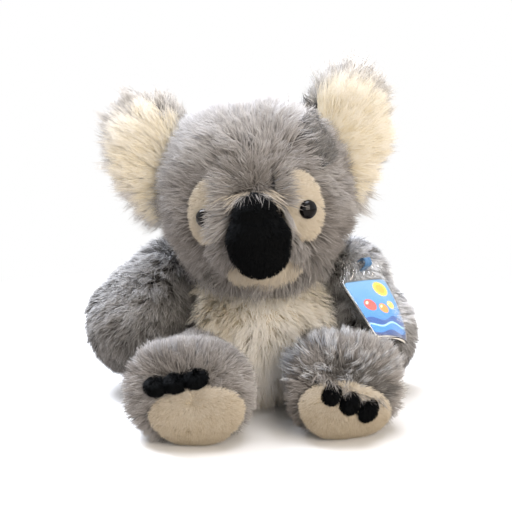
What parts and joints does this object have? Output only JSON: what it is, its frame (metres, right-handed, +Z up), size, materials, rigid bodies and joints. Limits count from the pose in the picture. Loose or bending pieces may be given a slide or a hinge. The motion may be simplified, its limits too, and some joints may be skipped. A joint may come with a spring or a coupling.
{
  "type": "plush koala",
  "caption": "Seated plush koala toy with long combed fur, a velour nose, cream-lined ears, padded soles with claws and a swing tag on one arm.",
  "frame": {"origin": "on the floor under the middle of the whole toy, ears, feet and tag included", "axes": "+Z up, -Y the way the toy faces, +X towards its own left arm, which carries the tag"},
  "size_m": [0.2204, 0.1762, 0.214],
  "materials": {
    "grey_fur": "long combed pile, frosted tips",
    "dark_grey_fur": "long combed pile in tufts, silver tips",
    "cream_fur": "short brushed pile",
    "black_velour": "short dense pile",
    "polyester_fibre": "loose crimped fibre",
    "bean_bag_cloth": "plain weave",
    "black_gloss_plastic": "polished, moulded",
    "white_nylon": "as moulded",
    "clear_film": "clear glossy film",
    "printed_card": "coated printed card",
    "blue_ribbon": "satin weave"
  },
  "bodies": {
    "torso": {"torso_skin": "grey_fur", "belly_panel": "cream_fur", "seat_bean_bag": "bean_bag_cloth", "body_filling": "polyester_fibre"},
    "head": {"head_skin": "grey_fur", "head_filling": "polyester_fibre", "nose": "black_velour", "muzzle_patch": "cream_fur", "eye_patch_right": "cream_fur", "eye_right": "black_gloss_plastic", "eye_washer_right": "white_nylon", "eye_patch_left": "cream_fur", "eye_left": "black_gloss_plastic", "eye_washer_left": "white_nylon", "ear_right_back": "grey_fur", "ear_right_lining": "cream_fur", "ear_left_back": "grey_fur", "ear_left_lining": "cream_fur"},
    "arm_right": {"arm_right_skin": "dark_grey_fur", "arm_right_filling": "polyester_fibre"},
    "arm_left": {"arm_left_skin": "dark_grey_fur", "arm_left_filling": "polyester_fibre", "tag_ribbon": "blue_ribbon"},
    "leg_right": {"leg_right_skin": "grey_fur", "leg_right_filling": "polyester_fibre", "claw_right_1": "black_velour", "claw_right_2": "black_velour", "claw_right_3": "black_velour", "sole_pad_right": "cream_fur"},
    "leg_left": {"leg_left_skin": "grey_fur", "leg_left_filling": "polyester_fibre", "claw_left_1": "black_velour", "claw_left_2": "black_velour", "claw_left_3": "black_velour", "sole_pad_left": "cream_fur"},
    "tag": {"tag_packet": "clear_film", "tag_card": "printed_card"}
  },
  "joints": [
    {"name": "head_turn", "type": "hinge", "parent": "torso", "child": "head", "pos_m": [0.00153, 0.01292, 0.133], "axis": [-0.087, 0, 0.9962], "range_deg": [-25, 25], "stiffness_Nm_per_rad": 0.06},
    {"name": "arm_right_lift", "type": "hinge", "parent": "torso", "child": "arm_right", "pos_m": [-0.05647, 0.04692, 0.071], "axis": [0, 1, 0], "range_deg": [0, 60]},
    {"name": "arm_left_lift", "type": "hinge", "parent": "torso", "child": "arm_left", "pos_m": [0.06353, 0.04692, 0.071], "axis": [0, -1, 0], "range_deg": [0, 60]},
    {"name": "leg_right_lift", "type": "hinge", "parent": "torso", "child": "leg_right", "pos_m": [-0.03347, -0.00608, 0.025], "axis": [-1, 0, 0], "range_deg": [0, 12]},
    {"name": "leg_left_lift", "type": "hinge", "parent": "torso", "child": "leg_left", "pos_m": [0.04053, -0.00608, 0.025], "axis": [-1, 0, 0], "range_deg": [0, 12]},
    {"name": "tag_swing", "type": "hinge", "parent": "arm_left", "child": "tag", "pos_m": [0.07268, 0.02065, 0.08826], "axis": [-0.8704, -0.4892, -0.056], "range_deg": [0, 50]}
  ]
}
